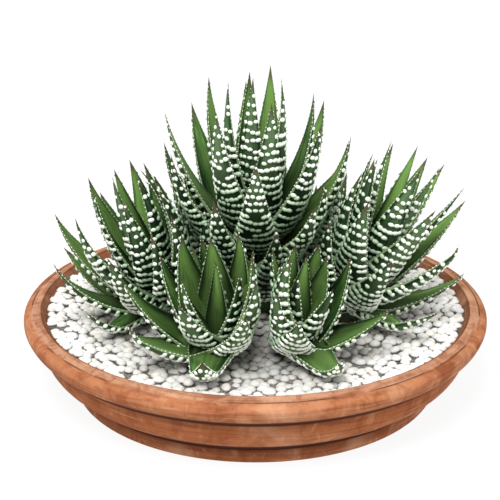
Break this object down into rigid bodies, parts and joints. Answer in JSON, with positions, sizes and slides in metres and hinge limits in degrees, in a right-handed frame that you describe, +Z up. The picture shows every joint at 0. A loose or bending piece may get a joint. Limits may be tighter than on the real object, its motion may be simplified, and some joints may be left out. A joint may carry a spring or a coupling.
{
  "type": "potted haworthia",
  "caption": "Clump of zebra haworthia rosettes growing in a shallow round terracotta bowl, over soil dressed with white pebbles.",
  "frame": {"origin": "centre of the bowl's foot, on the surface that the bowl stands on", "axes": "+Z up; -Y is the front, where the two low rosettes stand; +X is to the right of somebody who looks at the front"},
  "size_m": [0.24, 0.24, 0.1687],
  "materials": {
    "terracotta": "unglazed fired clay, matt, brushed with water stains",
    "soil": "moist crumbly potting soil",
    "pebbles": "rounded white pebbles, dull",
    "leaf": "firm succulent skin with a soft sheen, raised white bands on the outer face"
  },
  "bodies": {
    "root": {"bowl": "terracotta", "soil": "soil", "gravel": "pebbles", "rosette_centre": "leaf", "rosette_left": "leaf", "rosette_right": "leaf", "rosette_front_left": "leaf", "rosette_front_right": "leaf", "rosette_back_left": "leaf", "rosette_back_right": "leaf"}
  },
  "joints": []
}
